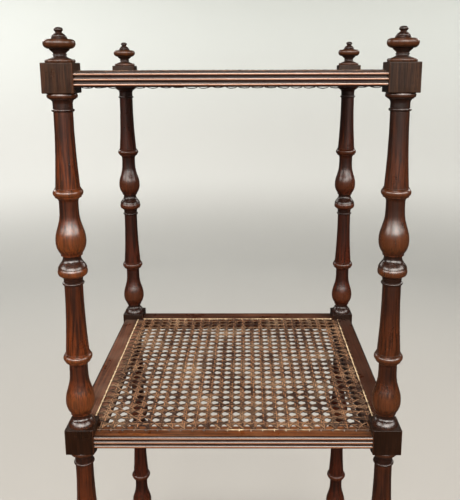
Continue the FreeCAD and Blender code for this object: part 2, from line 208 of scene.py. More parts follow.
def turning_marks():
    """Where a post is turned thin or full, left square, or darker in bands, and the tool's rings."""
    group, given, ends = new_group(
        "turning_marks", {"Place": "Vector"},
        {"Hollow": "Float", "Swell": "Float", "Crest": "Float", "Waxed": "Float",
         "Top block": "Float", "Lower blocks": "Float", "Turned": "Float", "Rings": "Float"})
    part = add(group, "SeparateXYZ", {0: given["Place"]}).outputs
    off_x = reckon(group, "SUBTRACT", reckon(group, "ABSOLUTE", part["X"]), POST_CENTRE)
    off_y = reckon(group, "SUBTRACT", reckon(group, "ABSOLUTE", part["Y"]), POST_CENTRE)
    squares = reckon(group, "ADD", times(group, off_x, off_x), times(group, off_y, off_y))
    out_to = reckon(group, "SQRT", squares)
    hollow = rest_of(group, step_between(group, out_to, *HOLLOW_RADII))
    dark_bands = 0.0
    for low, high in COLLARS + REEL_WAISTS + REEL_NECKS + BASE_REELS:
        dark_bands = reckon(group, "MAXIMUM", dark_bands, within(group, part["Z"], low, high))
    blocks = [within(group, part["Z"], top - BLOCK_TALL, top, BLOCK_SLACK) for top in BLOCK_TOPS]
    lower = reckon(group, "MAXIMUM", blocks[0], blocks[1])
    square = reckon(group, "MAXIMUM", lower, blocks[2])
    turned = rest_of(group, square)
    nearer = reckon(group, "MINIMUM", reckon(group, "ABSOLUTE", off_x),
                    reckon(group, "ABSOLUTE", off_y))
    arris = times(group, square, step_between(group, nearer, *ARRIS))
    fullest = times(group, step_between(group, out_to, *CREST_RADII), turned)
    crest = reckon(group, "ADD", arris, fullest)
    swell = times(group, step_between(group, out_to, *SWELL_RADII), turned)
    unrolled = add(group, "CombineXYZ", {"X": times(group, out_to, RING_REACH),
                                         "Z": part["Z"]}).outputs[0]
    join_up(group, ends, {"Hollow": hollow, "Swell": swell, "Crest": crest, "Waxed": dark_bands,
                          "Top block": blocks[2], "Lower blocks": lower, "Turned": turned,
                          "Rings": noise(group, unrolled, TOOL_MARKS, 2.0)})
    return group


PATCHES = (34.0, 4.0, 0.6)
SMEARS = (420.0, 3.0)
HOLLOW_PATCHES = (0.1, 0.55)
HOLLOW_GRIME_AND_SHADE = shade(20, 9, 6)
RUBBED_SMEARS = (0.1, 0.5)
FACING_UP = (0.55, 0.98)
DUST_PATCHES = (0.25, 0.75)
POLISH_ROUGHNESS = (0.24, 0.38, 0.3, 0.7)
DUST_DULLS = 0.35
GRIME_DULLS = 0.12


def years_of_use():
    """Wax, dirt and painted shade in the hollows, crests rubbed bright (on the reeds with a painted
    highlight as well), and dust on whatever faces up.
    """
    group, given, ends = new_group(
        "years_of_use",
        {"Colour": "Color", "Hollow": "Float", "Crest": "Float", "Dust": "Float",
         "Dust colour": "Color", "Rubbed": "Color"},
        {"Colour": "Color", "Roughness": "Float"})
    around = add(group, "TexCoord", {}).outputs["Object"]
    patch = noise(group, around, *PATCHES)
    smear = noise(group, around, *SMEARS)
    # Hollows darken with wax and dirt and, on top of that, painted shade.
    grime_and_shade = times(group, given["Hollow"], step_between(group, patch, *HOLLOW_PATCHES))
    dirt_and_shade = blend_colours(group, grime_and_shade, given["Colour"], HOLLOW_GRIME_AND_SHADE)
    wear_and_highlight = times(group, given["Crest"], step_between(group, smear, *RUBBED_SMEARS))
    marked = blend_colours(group, wear_and_highlight, dirt_and_shade, given["Rubbed"])
    facing = add(group, "NewGeometry", {}).outputs["Normal"]
    upward = add(group, "SeparateXYZ", {0: facing}).outputs["Z"]
    lying = step_between(group, upward, *FACING_UP)
    film = times(group, lying, step_between(group, patch, *DUST_PATCHES))
    dust = times(group, film, given["Dust"])
    dusty = blend_colours(group, dust, marked, given["Dust colour"])
    base = spread(group, patch, *POLISH_ROUGHNESS)
    rough = reckon(group, "ADD", base, times(group, dust, DUST_DULLS), clamp=True)
    rough = reckon(group, "ADD", rough, times(group, grime_and_shade, GRIME_DULLS), clamp=True)
    join_up(group, ends, {"Colour": dusty, "Roughness": rough})
    return group


FIGURE = mahogany_figure()
MARKS = turning_marks()
USE = years_of_use()


def new_finish(name):
    """An empty material with its Principled shader."""
    finish = bpy.data.materials.new(name)
    finish.use_nodes = True
    return finish, finish.node_tree, finish.node_tree.nodes["Principled BSDF"]


def use_group(tree, group, sockets):
    """Places a shared effect in a material with that material's own values."""
    return add(tree, "Group", sockets, node_tree=group).outputs


def raised(tree, height, depth, strength):
    """The normal of a surface that a height raises."""
    made = add(tree, "Bump", {"Strength": strength, "Distance": depth, "Height": height})
    return made.outputs[0]


POST_GRAIN_DEPTH = 0.0003
GRAIN_SHARE = 0.5
TOOL_MARK_SHARE = 0.4
POST_GRIME_AND_SHADE = 0.55
POST_RUB = 0.3
POST_RUBBED = shade(72, 40, 24)
POST_DUST = 0.08
POST_DUST_COLOUR = shade(92, 78, 70)
THIN_SHELLAC = 0.2
SWELL_SHARE = 0.3
# Painted light and shade: the top blocks a lighter brown, the lower blocks a darker brown.
TOP_BLOCK_SHARE = 0.85
TOP_BLOCK_PAINTED_LIGHT = (shade(8, 4, 2), shade(46, 30, 18))
LOWER_BLOCK_SHARE = 0.94
LOWER_BLOCK_PAINTED_SHADE = (shade(13, 6, 3), shade(30, 16, 8))
DARK_BAND_SHARE = 0.68
DARK_BAND = shade(18, 10, 7)


def turned_mahogany(name, dark, ground, pale, pale_share, haze, gloss, has_blocks=False):
    """Mahogany turned between centres: the grain runs up, and the tone follows the turning."""
    finish, tree, shader = new_finish(name)
    place = add(tree, "TexCoord", {}).outputs["Object"]
    figure = use_group(tree, FIGURE, {"Place": place, "Dark": dark, "Ground": ground,
                                      "Pale": pale, "Pale share": pale_share})
    marks = use_group(tree, MARKS, {"Place": place})
    ribs = step_between(tree, figure["Grain"], 0.25, 0.75)
    streaked = times(tree, marks["Swell"], times(tree, ribs, SWELL_SHARE))
    toned = blend_colours(tree, streaked, figure["Colour"], pale)
    # The top blocks get painted light and the lower blocks painted shade.
    for mark, share, browns in (("Top block", TOP_BLOCK_SHARE, TOP_BLOCK_PAINTED_LIGHT),
                               ("Lower blocks", LOWER_BLOCK_SHARE, LOWER_BLOCK_PAINTED_SHADE)):
        toned = blend_colours(tree, times(tree, marks[mark], share), toned,
                              blend_colours(tree, ribs, *browns))
    # The collars, reel waists, reel necks and base reels are darker in bands.
    toned = blend_colours(tree, times(tree, marks["Waxed"], DARK_BAND_SHARE), toned, DARK_BAND)
    aged = use_group(tree, USE, {
        "Colour": toned, "Hollow": times(tree, marks["Hollow"], POST_GRIME_AND_SHADE),
        "Crest": times(tree, marks["Crest"], POST_RUB), "Rubbed": POST_RUBBED,
        "Dust": POST_DUST, "Dust colour": POST_DUST_COLOUR})
    tooled = times(tree, marks["Rings"], times(tree, marks["Turned"], TOOL_MARK_SHARE))
    height = reckon(tree, "ADD", times(tree, figure["Grain"], GRAIN_SHARE), tooled)
    shellac = gloss
    if has_blocks:
        shellac = reckon(tree, "MAXIMUM", times(tree, marks["Turned"], gloss), THIN_SHELLAC)
    fill(tree, shader, {
        "Base Color": aged["Colour"], "Roughness": aged["Roughness"],
        "Normal": raised(tree, height, POST_GRAIN_DEPTH, 0.5), "Specular IOR Level": 0.1,
        "Coat Weight": shellac, "Coat Roughness": haze, "Coat IOR": 1.5})
    return finish


def finish_nodes(names, finish):
    """Puts a finish on CAD nodes, in the material slot that each one has."""
    for name in names:
        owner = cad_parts[name]
        if not owner.material_slots:
            owner.data.materials.append(finish)
        for held in owner.material_slots:
            held.material = finish


# One mahogany in lit and shaded copies: the left front post lighter as painted light, the right front
# and back posts darker as painted shade.
LEFT_POST_FINISH = turned_mahogany(
    "left_post_mahogany", shade(34, 15, 6), shade(74, 32, 11), shade(126, 70, 26),
    pale_share=0.42, haze=0.23, gloss=0.8, has_blocks=True)
RIGHT_POST_FINISH = turned_mahogany(
    "right_post_mahogany", shade(30, 13, 5), shade(58, 26, 10), shade(88, 50, 20),
    pale_share=0.36, haze=0.24, gloss=0.75, has_blocks=True)
BACK_POST_FINISH = turned_mahogany(
    "back_post_mahogany", shade(26, 10, 5), shade(54, 21, 10), shade(78, 39, 17),
    pale_share=0.36, haze=0.24, gloss=0.45, has_blocks=True)
finish_nodes(["front_left_post"], LEFT_POST_FINISH)
finish_nodes(["front_right_post"], RIGHT_POST_FINISH)
finish_nodes(["back_left_post", "back_right_post"], BACK_POST_FINISH)

# ---------------------------------------------------------------- the twelve reeded rails
# A rail is a straight mahogany board between two blocks, tenoned in and glued. Its outer edge
# is run with three reeds. Its top is bored with a row of holes near the inner edge for the cane.

TIER_TOPS = {"bottom": 0.1325, "middle": 0.5485, "top": 0.9785}
REED_CROWN = 0.20025
REED_TOPS = (0.00018, 0.00002)
REED_QUIRKS = (0.0018, 0.0005)
REED_FOOT = (0.0026, 0.0022)
CORNER_REACH = (0.128, 0.164)
BLOTCHES = (55.0, 3.0)
BLOTCH_EDGES = (0.2, 0.7)
RAIL_GRAIN_DEPTH = 0.0001
RAIL_HAZE = 0.12
RAIL_SHELLAC = 0.06
REED_SHELLAC = 0.94
REED_DARK_SHARE = 0.92
REED_DARK_TONE = shade(28, 11, 6)
# The reed crowns get a light line: partly rubbed wood, partly a painted highlight.
CROWN_HIGHLIGHT_SHARE = 0.6
CROWN_WEAR_AND_HIGHLIGHT = shade(156, 108, 80)
CORNER_DARK_SHARE = 0.75
CORNER_DARK = shade(46, 35, 29)


def reed_marks():
    """Where a rail's edge is reeded, the reeds' crowns and quirks, and darker blotches by the blocks.
    """
    group, given, ends = new_group(
        "reed_marks", {"Place": "Vector", "Out to": "Float"},
        {"Reeded": "Float", "Crown": "Float", "Quirk": "Float", "Handled": "Float"})
    crown, open_quirk, reeded = [
        step_between(group, given["Out to"], REED_CROWN - low, REED_CROWN - high)
        for low, high in (REED_TOPS, REED_QUIRKS, REED_FOOT)]
    quirk = times(group, reeded, rest_of(group, open_quirk))
    part = add(group, "SeparateXYZ", {0: given["Place"]}).outputs
    far_x, far_y = [step_between(group, reckon(group, "ABSOLUTE", part[axis]),
                                 *CORNER_REACH) for axis in "XY"]
    darkened = step_between(group, noise(group, given["Place"], *BLOTCHES), *BLOTCH_EDGES)
    near_blocks = times(group, times(group, far_x, far_y), darkened)
    join_up(group, ends, {"Reeded": reeded, "Crown": crown, "Quirk": quirk, "Handled": near_blocks})
    return group


REED_MARKS = reed_marks()


def rail_mahogany(name, grain_turn, side_axis, dark, ground, pale, pale_share, dust, dust_colour):
    """Mahogany with the grain along the rail and its reeded face darker. The reed crowns are rubbed
    bright and carry a painted highlight, and the quirks are dark with dirt and painted shade.
    """
    finish, tree, shader = new_finish(name)
    place = add(tree, "TexCoord", {}).outputs["Object"]
    along = add(tree, "Mapping", {"Vector": place, "Rotation": grain_turn})
    figure = use_group(tree, FIGURE, {"Place": along.outputs[0], "Dark": dark, "Ground": ground,
                                      "Pale": pale, "Pale share": pale_share})
    sideways = add(tree, "SeparateXYZ", {0: place}).outputs[side_axis]
    marks = use_group(tree, REED_MARKS, {
        "Place": place, "Out to": reckon(tree, "ABSOLUTE", sideways)})
    # The whole reeded face is made darker than the rail's top.
    reeded = blend_colours(tree, times(tree, marks["Reeded"], REED_DARK_SHARE),
                           figure["Colour"], REED_DARK_TONE)
    cornered = blend_colours(tree, times(tree, marks["Handled"], CORNER_DARK_SHARE),
                            reeded, CORNER_DARK)
    aged = use_group(tree, USE, {
        # The quirks take dirt and painted shade.
        "Colour": cornered, "Hollow": marks["Quirk"],
        # The crown line is rubbing plus a painted highlight.
        "Crest": times(tree, marks["Crown"], CROWN_HIGHLIGHT_SHARE), "Rubbed": CROWN_WEAR_AND_HIGHLIGHT,
        "Dust": dust, "Dust colour": dust_colour})
    shellac = reckon(tree, "ADD", times(tree, marks["Reeded"], REED_SHELLAC), RAIL_SHELLAC)
    fill(tree, shader, {
        "Base Color": aged["Colour"], "Roughness": aged["Roughness"],
        "Normal": raised(tree, figure["Grain"], RAIL_GRAIN_DEPTH, 0.5),
        "Specular IOR Level": 0.05, "Coat Weight": shellac, "Coat Roughness": RAIL_HAZE,
        "Coat IOR": 1.62})
    return finish


ALONG_X = (0.0, math.radians(90), 0.0)
ALONG_Y = (math.radians(90), 0.0, 0.0)
# One mahogany in lit and shaded copies by side: the front and left rails lighter as painted light,
# the right and back rails darker as painted shade.
RAIL_FINISHES = {
    "front": rail_mahogany("front_rail_mahogany", ALONG_X, "Y", shade(54, 26, 12),
                           shade(90, 48, 23), shade(130, 78, 42), pale_share=0.5, dust=0.2,
                           dust_colour=shade(126, 96, 72)),
    "left": rail_mahogany("left_rail_mahogany", ALONG_Y, "X", shade(50, 27, 18),
                          shade(84, 48, 33), shade(110, 72, 54), pale_share=0.45, dust=0.3,
                          dust_colour=shade(126, 102, 88)),
    "right": rail_mahogany("right_rail_mahogany", ALONG_Y, "X", shade(43, 23, 15),
                           shade(54, 29, 19), shade(70, 41, 27), pale_share=0.4, dust=0.12,
                           dust_colour=shade(104, 80, 68)),
    "back": rail_mahogany("back_rail_mahogany", ALONG_X, "Y", shade(38, 21, 13),
                          shade(68, 37, 25), shade(92, 57, 41), pale_share=0.45, dust=0.12,
                          dust_colour=shade(104, 84, 72)),
}
for side, finish in RAIL_FINISHES.items():
    finish_nodes([tier + "_" + side + "_rail" for tier in TIER_TOPS], finish)

# ---------------------------------------------------------------- the caned shelves
# Each shelf is woven by hand with split cane in the six-way pattern: two strands back to front,
# two side to side, then one along each diagonal. The strands go down through holes in the rails.

SHELF_DROP = 0.0095
PAIRS = 24
FIRST_ACROSS = -0.1631
STEP_ACROSS = 0.01441
FIRST_BACK = -0.1742
STEP_BACK = 0.01431
FRONT_COUNT = 24
HOLE_FIRST = -0.16435
HOLE_SPAN = 0.3287
HOLE_STEP = HOLE_SPAN / (FRONT_COUNT - 1)
FRONT_HOLES = -0.185
BACK_HOLES = 0.170
SIDE_HOLES = 0.176
CANE_WIDTH = 0.0026
CANE_THICK = 0.00045
BACK_WIDTH = 0.0025
BACK_APART = 0.0026
CROSS_WIDTH = 0.0030
CROSS_APART = 0.0031
SETTLED = 0.0037
PAIR_RISE = 0.00026
CROSS_RISE = 0.00049
HOLE_EDGE = 0.0021
WEAVE_LEVEL = 0.00080
MIDDLE_WEAVE = TIER_TOPS["middle"] - SHELF_DROP + WEAVE_LEVEL
END_DROP = 0.00050
INTO_HOLE = 0.0017
DOWN_HOLE = 0.0024
LEAST_STEP = 0.0004
PAIR_IN_HOLE = 0.0016
BEND_REACH = 0.0034
TOUCHING = 1e-5
ARRIS_SHARE = 0.62
CROWN_SHARE = 0.7
CROWN_FROM = 0.4
END_FACING = 0.9
SOFT_EDGE = math.radians(50)


def pick(piece, test):
    """In edit mode, selects the points of a piece whose place passes a test."""
    bpy.ops.mesh.select_all(action="DESELECT")
    shape = bmesh.from_edit_mesh(piece.data)
    for point in shape.verts:
        point.select = test(point.co)
    shape.select_flush(True)
    bmesh.update_edit_mesh(piece.data)


def pick_edges(piece, test):
    """In edit mode, turns to edges and selects those of a piece that pass a test."""
    bpy.ops.mesh.select_mode(type="EDGE")
    shape = bmesh.from_edit_mesh(piece.data)
    for edge in shape.edges:
        edge.select = test(edge)
    bmesh.update_edit_mesh(piece.data)


def on_top(edge):
    """Whether an edge is in the upper half of a piece."""
    return all(end.co.z > 0 for end in edge.verts)


def open_piece(piece):
    """Makes a piece the only one selected and opens it for shaping."""
    bpy.ops.object.select_all(action="DESELECT")
    piece.select_set(True)
    bpy.context.view_layer.objects.active = piece
    bpy.ops.object.mode_set(mode="EDIT")


def close_piece():
    """Leaves edit mode."""
    bpy.ops.object.mode_set(mode="OBJECT")


def apply_modifiers(piece):
    """Applies all of a piece's modifiers in their order."""
    bpy.context.view_layer.objects.active = piece
    for modifier in list(piece.modifiers):
        bpy.ops.object.modifier_apply(modifier=modifier.name)


def copied(piece):
    """A copy of a piece, with its own mesh."""
    twin = piece.copy()
    twin.data = piece.data.copy()
    bpy.context.scene.collection.objects.link(twin)
    return twin


def faced_out(piece):
    """Turns all of a piece's faces outwards."""
    open_piece(piece)
    bpy.ops.mesh.select_all(action="SELECT")
    bpy.ops.mesh.normals_make_consistent(inside=False)
    close_piece()


def repeated(piece, offset, count, merge):
    """Repeats a piece in a row, each one offset from the last, and merged with it or not."""
    row = piece.modifiers.new("row", "ARRAY")
    row.use_relative_offset = False
    row.use_constant_offset = True
    row.constant_offset_displace = offset
    row.count = count
    row.use_merge_vertices = merge
    row.merge_threshold = TOUCHING
    apply_modifiers(piece)


def split_cane(name, cell, bends, count, width=CANE_WIDTH, thick=CANE_THICK):
    """One long strand along Y: flat below, rounded above, bent over and under at each crossing.

    bends gives the place and the rise of each bend within one cell of the pattern.
    """
    bpy.ops.object.select_all(action="DESELECT")
    bpy.ops.mesh.primitive_cube_add(size=1.0, location=(0.0, cell / 2, 0.0))
    strand = bpy.context.object
    strand.name = name
    strand.scale = (width, cell, thick)
    bpy.ops.object.transform_apply(location=True, rotation=False, scale=True)
    open_piece(strand)
    pick(strand, lambda at: at.z > 0)
    pick_edges(strand, lambda edge: on_top(edge) and edge.verts[0].co.x * edge.verts[1].co.x > 0)
    bpy.ops.mesh.bevel(offset=thick * ARRIS_SHARE, offset_type="OFFSET", segments=1, profile=0.5,
                       affect="EDGES", clamp_overlap=True)
    bpy.ops.mesh.select_mode(type="FACE")
    shape = bmesh.from_edit_mesh(strand.data)
    for face in shape.faces:
        face.select = abs(face.normal.y) > END_FACING
    bmesh.update_edit_mesh(strand.data)
    bpy.ops.mesh.delete(type="ONLY_FACE")
    bpy.ops.mesh.select_mode(type="VERT")
    pick(strand, lambda at: at.z > thick * CROWN_FROM)
    bpy.ops.transform.resize(value=(CROWN_SHARE, 1, 1), center_override=(0, 0, 0))
    for place, rise in bends:
        if 0 < place < cell:
            bpy.ops.mesh.select_all(action="SELECT")
            bpy.ops.mesh.bisect(plane_co=(0, place, 0), plane_no=(0, 1, 0))
    for place, rise in bends:
        if rise:
            pick(strand, lambda at: abs(at.y - place) < TOUCHING)
            bpy.ops.transform.translate(value=(0, 0, rise))
    close_piece()
    repeated(strand, (0, cell, 0), count, merge=True)
    return strand


def cut_strand(master, start, finish, place, turn, first_run, last_run):
    """Copies a strand, cuts it from start to finish, lays it at its place, and leads both ends on.

    first_run and last_run are the steps that take the two ends over the rail and down a hole.
    """
    strand = copied(master)
    open_piece(strand)
    for cut, facing in ((start, -1), (finish, 1)):
        bpy.ops.mesh.select_all(action="SELECT")
        bpy.ops.mesh.bisect(plane_co=(0, cut, 0), plane_no=(0, facing, 0), clear_outer=True)
    close_piece()
    lay = Matrix.Translation(place) @ Matrix.Rotation(turn, 4, "Z")
    lay = lay @ Matrix.Translation((0, -start, 0))
    ends = [lay @ Vector((0, at, 0)) for at in (start, finish)]
    heading = (lay.to_3x3() @ Vector((0, 1, 0))).normalized()
    strand.data.transform(lay)
    open_piece(strand)
    for end, steps, sense in ((ends[0], first_run, -1), (ends[1], last_run, 1)):
        pick(strand, lambda at: sense * (at - end).dot(heading) > -TOUCHING)
        for step in steps:
            bpy.ops.mesh.extrude_region_move(TRANSFORM_OT_translate={"value": step})
        bpy.ops.mesh.edge_face_add()
    bpy.ops.mesh.select_all(action="SELECT")
    bpy.ops.mesh.normals_make_consistent(inside=False)
    close_piece()
    return strand


def joined(name, strands):
    """Joins strands into one piece."""
    bpy.ops.object.select_all(action="DESELECT")
    for strand in strands:
        strand.select_set(True)
    bpy.context.view_layer.objects.active = strands[0]
    bpy.ops.object.join()
    piece = bpy.context.object
    piece.name = name
    bpy.ops.object.shade_smooth_by_angle(angle=SOFT_EDGE)
    return piece


def pair_bends(cell, first_rise, apart):
    """The bends of one strand of a pair, which goes under one crossing strand and over the next."""
    middle = cell / 2
    near = apart / 2
    return ((middle - BEND_REACH, 0.0), (middle - near, first_rise), (middle, 0.0),
            (middle + near, -first_rise), (middle + BEND_REACH, 0.0))


def diagonal_bends(cell, first_rise):
    """The bends of a diagonal, which is low under one pair and high over the next."""
    shares = (0.0, 0.14, 0.25, 0.36, 0.5, 0.64, 0.75, 0.86, 1.0)
    rises = (1.0, 0.9, 0.0, -0.9, -1.0, -0.9, 0.0, 0.9, 1.0)
    return [(cell * share, first_rise * rise) for share, rise in zip(shares, rises)]


def hole_across(index):
    """How far across a front or back hole is."""
    return HOLE_FIRST + HOLE_STEP * index


def at_weave(across, back):
    """A point at the height of the middle weave."""
    return Vector((across, back, MIDDLE_WEAVE))


def lattice(across, back):
    """A place in the weave, counted in pairs across and pairs back."""
    return at_weave(FIRST_ACROSS + STEP_ACROSS * across, FIRST_BACK + STEP_BACK * back)


def into_hole(end, hole, edge_side):
    """Steps from a strand's last ring to the near edge of a hole and down into it."""
    edge = hole - edge_side * HOLE_EDGE
    flat = Vector((edge.x - end.x, edge.y - end.y, -END_DROP))
    down = edge_side * INTO_HOLE - Vector((0.0, 0.0, DOWN_HOLE))
    return [flat, down] if flat.length > LEAST_STEP else [down]


FORWARD = Vector((0, -1, 0))
BACKWARD = Vector((0, 1, 0))
LEFTWARD = Vector((-1, 0, 0))
RIGHTWARD = Vector((1, 0, 0))

dipping = split_cane("strand_dipping", STEP_BACK,
                     pair_bends(STEP_BACK, -PAIR_RISE, CROSS_APART), PAIRS, BACK_WIDTH)
rising = split_cane("strand_rising", STEP_BACK,
                    pair_bends(STEP_BACK, PAIR_RISE, CROSS_APART), PAIRS, BACK_WIDTH)
length_back = STEP_BACK * PAIRS
back_strands = []
for index in range(PAIRS):
    for side, master in ((-0.5, dipping), (0.5, rising)):
        foot = lattice(index, -0.5) + Vector((side * BACK_APART, 0, 0))
        head = foot + Vector((0, length_back, 0))
        hole = hole_across(index) + side * PAIR_IN_HOLE
        back_strands.append(cut_strand(
            master, 0.0, length_back, foot, 0.0,
            into_hole(foot, at_weave(hole, FRONT_HOLES), FORWARD),
            into_hole(head, at_weave(hole, BACK_HOLES), BACKWARD)))
for master in (dipping, rising):
    bpy.data.objects.remove(master)
front_to_back = joined("middle_cane_front_to_back", back_strands)

# The front row ends short of the side rails, where the blocks stand in its way, so its strands
# turn forward into the corner holes of the front rail.

SIDE_REACH = 0.0118
FRONT_ROW_INSET = 0.004
FRONT_ROW_RUN = ((-0.003, -0.0008, 0), (-0.0022, -0.0022, 0), (-0.0010, -0.0038, 0),
                 (0, -0.0016, -DOWN_HOLE))
dipping = split_cane("strand_dipping", STEP_ACROSS,
                     pair_bends(STEP_ACROSS, -PAIR_RISE, BACK_APART), PAIRS, CROSS_WIDTH)
rising = split_cane("strand_rising", STEP_ACROSS,
                    pair_bends(STEP_ACROSS, PAIR_RISE, BACK_APART), PAIRS, CROSS_WIDTH)
cross_strands = []
for index in range(PAIRS):
    for side, master in ((-0.5, rising), (0.5, dipping)):
        aside = Vector((0, side * CROSS_APART, 0))
        start = 0.0
        finish = STEP_ACROSS * (PAIRS - 1) + SIDE_REACH
        if index == 0:
            start = STEP_ACROSS * 0.5 + FRONT_ROW_INSET
            finish = STEP_ACROSS * (PAIRS - 1.5)
        left = lattice(-0.5, index) + aside + Vector((start, 0, 0))
        right = lattice(-0.5, index) + aside + Vector((finish, 0, 0))
        if index == 0:
            left_run = [Vector(step) for step in FRONT_ROW_RUN]
            right_run = [Vector((-step.x, step.y, step.z)) for step in left_run]
        else:
            left_run = into_hole(left, at_weave(-SIDE_HOLES, left.y), LEFTWARD)
            right_run = into_hole(right, at_weave(SIDE_HOLES, right.y), RIGHTWARD)
        cross_strands.append(cut_strand(master, start, finish, left, math.radians(-90),
                                        left_run, right_run))
for master in (dipping, rising):
    bpy.data.objects.remove(master)
side_to_side = joined("middle_cane_side_to_side", cross_strands)

# The two diagonals run in opposite order, so one lies over every pair that the other goes under.

SLANT = math.hypot(STEP_ACROSS, STEP_BACK)
SLANT_TURN = math.atan2(STEP_ACROSS, STEP_BACK)
SLANT_END_INSET = 0.0034
CORNER_RUN = ((-0.0005, -0.0065, 0), (-0.0004, -0.0080, 0), (0, -0.0016, -DOWN_HOLE))
diagonals = {}
for name, mirrored, first_rise in (("right", False, -CROSS_RISE), ("left", True, CROSS_RISE)):
    master = split_cane("strand_diagonal", SLANT, diagonal_bends(SLANT, first_rise), PAIRS + 1)
    slants = []
    for line in range(-(PAIRS - 1), PAIRS):
        if line == 0:
            continue
        from_front = line < 0
        offset = line + 0.5 if from_front else line - 0.5
        if from_front:
            first, last = (-0.5 - offset, -0.5), (PAIRS - 0.5, PAIRS - 0.5 + offset)
            begin = 0.0
        else:
            first, last = (-0.5, offset - 0.5), (PAIRS - 0.5 - offset, PAIRS - 0.5)
            begin = SLANT * 0.5
        span = (last[0] - first[0]) * SLANT
        run_in = SLANT * 0.5 if not from_front and first[1] < 0.5 else 0.0
        run_out = SLANT_END_INSET if from_front and last[0] > PAIRS - 1 else 0.0
        low, high = lattice(*first), lattice(*last)
        way = (high - low).normalized()
        low = low + way * run_in
        high = high - way * run_out
        if from_front:
            low_run = into_hole(low, at_weave(hole_across(first[0]), FRONT_HOLES), FORWARD)
            high_run = into_hole(high, at_weave(SIDE_HOLES, high.y), RIGHTWARD)
        else:
            low_run = into_hole(low, at_weave(-SIDE_HOLES, low.y), LEFTWARD)
            high_run = into_hole(high, at_weave(hole_across(last[0]), BACK_HOLES), BACKWARD)
        if run_in:
            low_run = [Vector(step) for step in CORNER_RUN]
        strand = cut_strand(master, begin + run_in, begin + span - run_out, low, -SLANT_TURN,
                            low_run, high_run)
        slants.append(strand)
    bpy.data.objects.remove(master)
    slanted = joined("middle_cane_" + name + "_diagonal", slants)
    if mirrored:
        open_piece(slanted)
        bpy.ops.mesh.select_all(action="SELECT")
        middle = FIRST_ACROSS + STEP_ACROSS * (PAIRS - 1) / 2
        bpy.ops.transform.resize(value=(-1, 1, 1), center_override=(middle, 0, 0))
        bpy.ops.mesh.normals_make_consistent(inside=False)
        close_piece()
    diagonals[name] = slanted

WEAVE = [front_to_back, side_to_side, diagonals["right"], diagonals["left"]]


STRAND_TONES = (430.0, 14.0, 14.0)
FIBRE_LINES = (5200.0, 160.0, 160.0)
TONE_EDGES = (0.44, 0.58)
FIBRE_TONES = (0.75, 1.25, 0.3, 0.7)
CLEANER = (22.0, 3.0)
CLEANER_EDGES = (0.45, 0.8)
CLEANER_SHARE = 0.35
EDGE_FACING = (0.99, 0.93)
EDGE_SHADE_SHARE = 0.9
EDGE_PAINTED_SHADE = shade(26, 15, 10)


def cane_fibres():
    """The tones of split cane: each strand its own, fibres along it, cleaner patches, and painted
    shade on the strands' side faces.
    """
    group, given, ends = new_group(
        "cane_fibres",
        {"Place": "Vector", "Along": "Vector", "Dark": "Color", "Ground": "Color", "Pale": "Color"},
        {"Colour": "Color", "Fibres": "Float"})
    tone = add(group, "Mapping", {"Vector": given["Along"], "Scale": STRAND_TONES})
    own = noise(group, tone.outputs[0], 1.0, 1.0)
    drawn = add(group, "Mapping", {"Vector": given["Along"], "Scale": FIBRE_LINES})
    fibres = noise(group, drawn.outputs[0], 1.0, 2.0)
    body = blend_colours(group, step_between(group, own, *TONE_EDGES), given["Dark"],
                         given["Ground"])
    cleaner = step_between(group, noise(group, given["Place"], *CLEANER), *CLEANER_EDGES)
    fair = blend_colours(group, times(group, cleaner, CLEANER_SHARE), body, given["Pale"])
    thread = spread(group, fibres, *FIBRE_TONES)
    lined = add(group, "VectorMath", {0: fair, "Scale": thread}, operation="SCALE").outputs[0]
    upright = add(group, "SeparateXYZ", {0: add(group, "NewGeometry", {}).outputs["True Normal"]})
    # Painted shade: the strands' side faces go dark, as in the gaps between strands.
    edges = step_between(group, upright.outputs["Z"], *EDGE_FACING)
    darkened = blend_colours(group, times(group, edges, EDGE_SHADE_SHARE), lined, EDGE_PAINTED_SHADE)
    join_up(group, ends, {"Colour": darkened, "Fibres": fibres})
    return group


FIBRES = cane_fibres()
FIBRE_DEPTH = 0.0001
CANE_ROUGHNESS = (0.48, 0.68)


def cane_finish(name, turn, dark, ground, pale):
    """Old split cane with its fibres along the strands, its gloss mostly gone."""
    finish, tree, shader = new_finish(name)
    place = add(tree, "TexCoord", {}).outputs["Object"]
    along = add(tree, "Mapping", {"Vector": place, "Rotation": (0.0, 0.0, turn)}).outputs[0]
    cane = use_group(tree, FIBRES, {"Place": place, "Along": along, "Dark": dark,
                                    "Ground": ground, "Pale": pale})
    fill(tree, shader, {
        "Base Color": cane["Colour"], "Roughness": spread(tree, cane["Fibres"], *CANE_ROUGHNESS),
        "Normal": raised(tree, cane["Fibres"], FIBRE_DEPTH, 0.4), "Specular IOR Level": 0.16})
    return finish


WEAVE_FINISHES = [
    cane_finish("cane_front_to_back", 0.0, shade(54, 30, 20), shade(141, 98, 68),
                shade(210, 172, 134)),
    cane_finish("cane_side_to_side", math.radians(90), shade(46, 28, 20), shade(132, 98, 72),
                shade(200, 166, 132)),
    cane_finish("cane_right_diagonal", SLANT_TURN, shade(48, 30, 21), shade(130, 96, 70),
                shade(194, 158, 124)),
    cane_finish("cane_left_diagonal", -SLANT_TURN, shade(48, 30, 21), shade(130, 96, 70),
                shade(194, 158, 124)),
]
SETTLED_SIDES = (0.174, 0.135)
SETTLED_FRONT = (-0.1828, -0.1755)
SETTLED_BACK = (0.167, 0.140)
WEAVE_STIR = (0.05, (0.0016, 0.0016, 0.0008))


